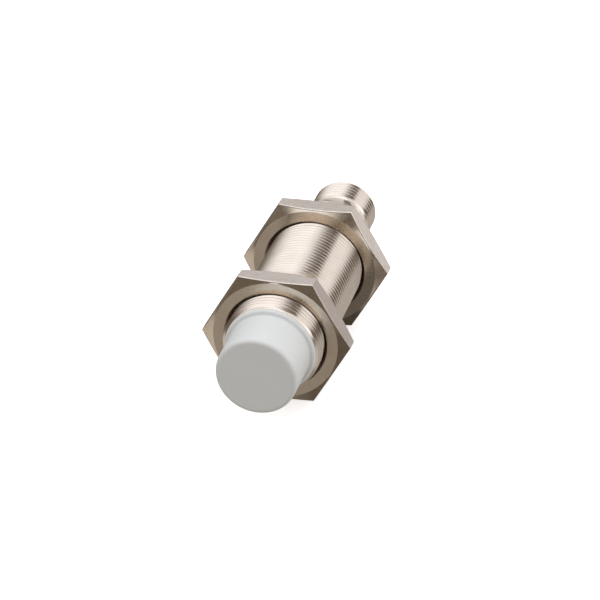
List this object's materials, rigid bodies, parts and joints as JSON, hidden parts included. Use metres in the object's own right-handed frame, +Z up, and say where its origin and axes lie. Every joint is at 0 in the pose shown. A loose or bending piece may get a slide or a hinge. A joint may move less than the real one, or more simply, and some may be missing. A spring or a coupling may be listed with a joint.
{
  "type": "inductive proximity sensor",
  "caption": "Threaded barrel proximity sensor with a plain plastic sensing cap, two thin hexagon nuts and a round threaded plug connector at the rear.",
  "frame": {"origin": "centre of the flat sensing face, on the sensor's axis", "axes": "+Y along the axis from the sensing face to the connector, +Z up, square to one flat of each nut; the opposite flats lie on the table"},
  "size_m": [0.0278, 0.0655, 0.024],
  "materials": {
    "nickel_plated_brass": "satin",
    "nut_nickel": "satin",
    "cap_plastic": "matte",
    "seal_rubber": "matte",
    "ferrite": "matte",
    "bobbin_plastic": "matte",
    "copper": "gloss",
    "board_laminate": "satin",
    "chip_plastic": "matte",
    "chip_ceramic": "matte",
    "epoxy_resin": "satin",
    "sleeve_plastic": "satin",
    "carrier_plastic": "matte",
    "gold_plated_brass": "gloss",
    "light_guide_plastic": "gloss",
    "led_plastic": "gloss",
    "lead_insulation": "matte"
  },
  "bodies": {
    "sensor": {"housing_tube": "nickel_plated_brass", "sensing_cap": "cap_plastic", "cap_seal_ring": "seal_rubber", "ferrite_core": "ferrite", "coil_bobbin": "bobbin_plastic", "coil_winding": "copper", "coil_lead_1": "copper", "coil_lead_2": "copper", "circuit_board": "board_laminate", "oscillator_chip": "chip_plastic", "output_transistor": "chip_plastic", "protection_diode": "chip_plastic", "voltage_regulator": "chip_plastic", "resistor_1": "chip_plastic", "resistor_2": "chip_plastic", "resistor_3": "chip_plastic", "resistor_4": "chip_plastic", "capacitor_1": "chip_ceramic", "capacitor_2": "chip_ceramic", "capacitor_3": "chip_ceramic", "status_led_1": "led_plastic", "status_led_2": "led_plastic", "insulating_sleeve": "sleeve_plastic", "resin_fill": "epoxy_resin", "connector_shell": "nickel_plated_brass", "connector_seal_ring": "seal_rubber", "light_guide": "light_guide_plastic", "contact_carrier": "carrier_plastic", "contact_pin_1": "gold_plated_brass", "contact_pin_2": "gold_plated_brass", "contact_pin_3": "gold_plated_brass", "contact_pin_4": "gold_plated_brass", "pin_lead_1": "lead_insulation", "pin_lead_2": "lead_insulation", "pin_lead_3": "lead_insulation", "pin_lead_4": "lead_insulation"},
    "front_nut_body": {"front_nut": "nut_nickel"},
    "rear_nut_body": {"rear_nut": "nut_nickel"}
  },
  "joints": [
    {"name": "front_nut_travel", "type": "slide", "parent": "sensor", "child": "front_nut_body", "axis": [0, 1, 0], "range_m": [-0.0032, 0.0125]},
    {"name": "rear_nut_travel", "type": "slide", "parent": "sensor", "child": "rear_nut_body", "axis": [0, 1, 0], "range_m": [-0.0109, 0.0058]}
  ]
}
